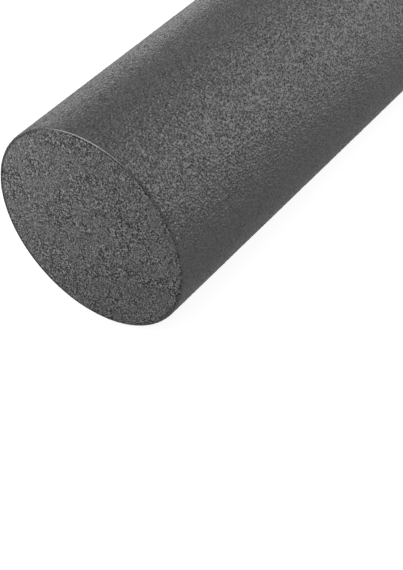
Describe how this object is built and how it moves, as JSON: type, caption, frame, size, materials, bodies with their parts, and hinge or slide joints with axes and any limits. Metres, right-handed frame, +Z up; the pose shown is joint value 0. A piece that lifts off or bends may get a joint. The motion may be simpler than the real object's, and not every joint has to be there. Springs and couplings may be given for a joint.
{
  "type": "massage roller",
  "caption": "Solid round foam massage roller with a pebbled skin, plain flat ends and narrowly rounded rims.",
  "frame": {"origin": "on the floor line, under the middle of the roller's length", "axes": "+X along the roller's axis, away from the end face that the picture shows; +Z up, with the roller lying on its side"},
  "size_m": [0.45, 0.15, 0.15],
  "materials": {
    "grey_foam": "dark grey closed-cell foam, satin pebbled skin on the side, duller cut cells on the ends"
  },
  "bodies": {
    "root": {"foam_roller": "grey_foam"}
  },
  "joints": []
}
